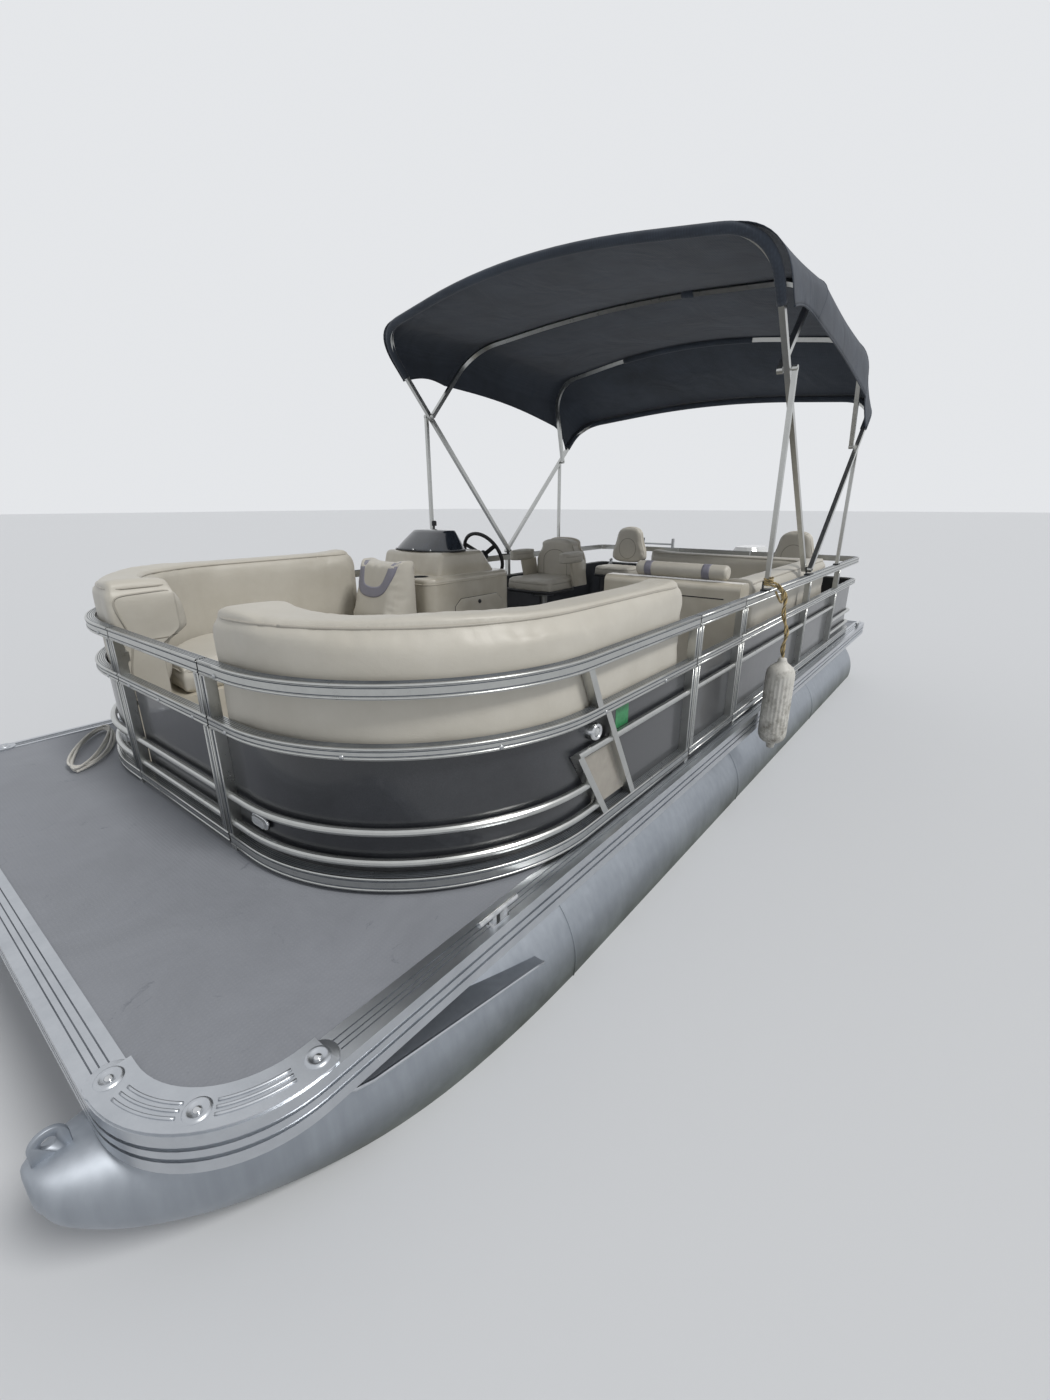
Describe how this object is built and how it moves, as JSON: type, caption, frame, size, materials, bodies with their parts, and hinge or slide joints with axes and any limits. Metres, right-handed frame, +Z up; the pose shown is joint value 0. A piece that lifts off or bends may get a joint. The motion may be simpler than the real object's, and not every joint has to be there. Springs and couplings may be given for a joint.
{
  "type": "pontoon boat",
  "caption": "Pontoon boat with a fenced deck, bow lounges, helm console, swivel chairs, folding canopy, gates, boarding ladder and tilting outboard.",
  "frame": {"origin": "on the centreline at the waterline, amidships of the deck", "axes": "+X to the bow, +Y to port, +Z up"},
  "size_m": [6.942, 2.738, 3.3025],
  "materials": {
    "hull_aluminium": "bare sheet, weathered",
    "trim_aluminium": "brushed, satin",
    "fence_aluminium": "satin anodised",
    "pod_paint": "welded sheet",
    "deck_covering": "woven vinyl, matt",
    "charcoal_panel": "semi-gloss",
    "beige_panel": "semi-gloss",
    "ivory_vinyl": "grained vinyl, satin",
    "ivory_moulding": "satin",
    "smoked_plastic": "glossy",
    "black_plastic": "matt",
    "black_rubber": "matt",
    "bright_steel": "polished",
    "satin_steel": "satin",
    "canopy_cloth": "woven acrylic, matt",
    "engine_paint": "gloss",
    "engine_grey": "satin",
    "fender_vinyl": "soiled",
    "braided_rope": "braided",
    "white_rope": "laid"
  },
  "bodies": {
    "boat": {"port_pontoon": "hull_aluminium", "starboard_pontoon": "hull_aluminium", "cross_members": "hull_aluminium", "deck": "deck_covering", "deck_trim": "trim_aluminium", "motor_pod": "pod_paint", "port_bow_fence": "fence_aluminium", "starboard_bow_fence": "fence_aluminium", "port_aft_fence": "fence_aluminium", "starboard_aft_fence": "fence_aluminium", "fence_panels": "charcoal_panel", "accent_panels": "beige_panel", "bow_lounge_bases": "ivory_moulding", "fixed_cushions": "ivory_vinyl", "port_bow_backrest": "ivory_vinyl", "starboard_bow_backrest": "ivory_vinyl", "chaise_back": "ivory_vinyl", "aft_lounge_base": "ivory_moulding", "aft_backrest": "ivory_vinyl", "aft_lounge_end": "ivory_moulding", "headrest_bolster": "ivory_vinyl", "console": "ivory_moulding", "console_cowl": "smoked_plastic", "throttle": "black_plastic", "chair_pedestals": "satin_steel", "bimini_rear_frame": "fence_aluminium", "bimini_mounts": "black_plastic", "bimini_canopy": "canopy_cloth", "cleats": "bright_steel", "running_lights": "bright_steel", "ladder_bracket": "satin_steel", "outboard_clamp": "engine_grey", "fender": "fender_vinyl", "fender_rope": "braided_rope", "deck_rope": "white_rope"},
    "bow_gate": {"bow_gate_frame": "fence_aluminium", "bow_gate_panel": "charcoal_panel"},
    "side_gate": {"side_gate_frame": "fence_aluminium", "side_gate_panel": "charcoal_panel"},
    "stern_gate": {"stern_gate_frame": "fence_aluminium", "stern_gate_panel": "charcoal_panel"},
    "port_bow_lid": {"port_bow_seat": "ivory_vinyl"},
    "starboard_bow_lid": {"starboard_bow_seat": "ivory_vinyl"},
    "aft_lid": {"aft_lounge_seat": "ivory_vinyl"},
    "helm_chair": {"helm_chair": "ivory_vinyl"},
    "port_fishing_chair": {"port_fishing_seat": "ivory_vinyl"},
    "port_fishing_fold": {"port_fishing_back": "ivory_vinyl"},
    "starboard_fishing_chair": {"starboard_fishing_seat": "ivory_vinyl"},
    "starboard_fishing_fold": {"starboard_fishing_back": "ivory_vinyl"},
    "front_bow": {"bimini_front_bow": "fence_aluminium"},
    "second_bow": {"bimini_second_bow": "fence_aluminium"},
    "third_bow": {"bimini_third_bow": "fence_aluminium"},
    "front_struts": {"bimini_front_struts": "fence_aluminium"},
    "steering_wheel": {"steering_wheel": "black_rubber"},
    "ladder": {"ladder_upper": "satin_steel"},
    "ladder_extension": {"ladder_lower": "satin_steel"},
    "outboard_swivel": {"swivel_bracket": "engine_grey"},
    "outboard": {"outboard_leg": "engine_grey", "outboard_cowl": "engine_paint"},
    "propeller": {"propeller": "satin_steel"}
  },
  "joints": [
    {"name": "bow_gate_hinge", "type": "hinge", "parent": "boat", "child": "bow_gate", "pos_m": [2.385, -0.364, 0.9], "axis": [0, 0, 1], "range_deg": [0, 90]},
    {"name": "side_gate_hinge", "type": "hinge", "parent": "boat", "child": "side_gate", "pos_m": [0.876, 1.205, 0.9], "axis": [0, 0, 1], "range_deg": [0, 90]},
    {"name": "stern_gate_hinge", "type": "hinge", "parent": "boat", "child": "stern_gate", "pos_m": [-2.43, -0.348, 0.9], "axis": [0, 0, -1], "range_deg": [0, 90]},
    {"name": "port_bow_lid_hinge", "type": "hinge", "parent": "boat", "child": "port_bow_lid", "pos_m": [1.34, 1.032, 0.92], "axis": [-1, 0, 0], "range_deg": [0, 75]},
    {"name": "starboard_bow_lid_hinge", "type": "hinge", "parent": "boat", "child": "starboard_bow_lid", "pos_m": [1.4, -1.032, 0.92], "axis": [1, 0, 0], "range_deg": [0, 75]},
    {"name": "aft_lid_hinge", "type": "hinge", "parent": "boat", "child": "aft_lid", "pos_m": [-0.485, 0.997, 0.92], "axis": [-1, 0, 0], "range_deg": [0, 75]},
    {"name": "helm_chair_swivel", "type": "hinge", "parent": "boat", "child": "helm_chair", "pos_m": [-0.79, -0.78, 0.83], "axis": [0, 0, 1], "continuous": true},
    {"name": "port_chair_swivel", "type": "hinge", "parent": "boat", "child": "port_fishing_chair", "pos_m": [-2.05, 0.78, 0.83], "axis": [0, 0, 1], "continuous": true},
    {"name": "port_chair_fold", "type": "hinge", "parent": "port_fishing_chair", "child": "port_fishing_fold", "pos_m": [-2.225, 0.78, 0.996], "axis": [0, 1, 0], "range_deg": [0, 85]},
    {"name": "starboard_chair_swivel", "type": "hinge", "parent": "boat", "child": "starboard_fishing_chair", "pos_m": [-2.05, -0.78, 0.83], "axis": [0, 0, 1], "continuous": true},
    {"name": "starboard_chair_fold", "type": "hinge", "parent": "starboard_fishing_chair", "child": "starboard_fishing_fold", "pos_m": [-2.225, -0.78, 0.996], "axis": [0, 1, 0], "range_deg": [0, 85]},
    {"name": "canopy_fold", "type": "hinge", "parent": "boat", "child": "front_bow", "pos_m": [-0.85, 0, 1.16], "axis": [0, -1, 0], "range_deg": [0, 77.5], "deforming": ["bimini_canopy"]},
    {"name": "second_bow_pivot", "type": "hinge", "parent": "front_bow", "child": "second_bow", "pos_m": [0.00809, 0, 2.1299], "axis": [0, -1, 0], "range_deg": [-77.5, 0]},
    {"name": "front_strut_pivot", "type": "hinge", "parent": "front_bow", "child": "front_struts", "pos_m": [0.00809, 0, 2.1299], "axis": [0, -1, 0], "range_deg": [-38.75, 0]},
    {"name": "third_bow_pivot", "type": "hinge", "parent": "boat", "child": "third_bow", "pos_m": [-1.62905, 0, 1.91231], "axis": [0, -1, 0], "range_deg": [0, 52.7]},
    {"name": "ladder_fold", "type": "hinge", "parent": "boat", "child": "ladder", "pos_m": [-3.026, -0.86, 0.54], "axis": [0, -1, 0], "range_deg": [0, 172]},
    {"name": "ladder_slide", "type": "slide", "parent": "ladder", "child": "ladder_extension", "axis": [0, 0, 1], "range_m": [0, 0.42]},
    {"name": "outboard_tilt", "type": "hinge", "parent": "boat", "child": "outboard_swivel", "pos_m": [-3.198, 0, 0.43], "axis": [0, 1, 0], "range_deg": [0, 65]},
    {"name": "outboard_steer", "type": "hinge", "parent": "outboard_swivel", "child": "outboard", "pos_m": [-3.262, 0, 0.24], "axis": [0, 0, 1], "range_deg": [-30, 30]},
    {"name": "propeller_spin", "type": "hinge", "parent": "outboard", "child": "propeller", "pos_m": [-3.7, 0, -0.4], "axis": [1, 0, 0], "continuous": true},
    {"name": "wheel_turn", "type": "hinge", "parent": "boat", "child": "steering_wheel", "pos_m": [-0.115, -0.83, 1.19], "axis": [-0.9063, 0, 0.4226], "range_deg": [-540, 540]}
  ],
  "couplings": [
    {"joint": "second_bow_pivot", "follows": "canopy_fold", "ratio": -1},
    {"joint": "front_strut_pivot", "follows": "canopy_fold", "ratio": -0.5},
    {"joint": "third_bow_pivot", "follows": "canopy_fold", "ratio": 0.68},
    {"joint": "wheel_turn", "follows": "outboard_steer", "ratio": -18}
  ]
}
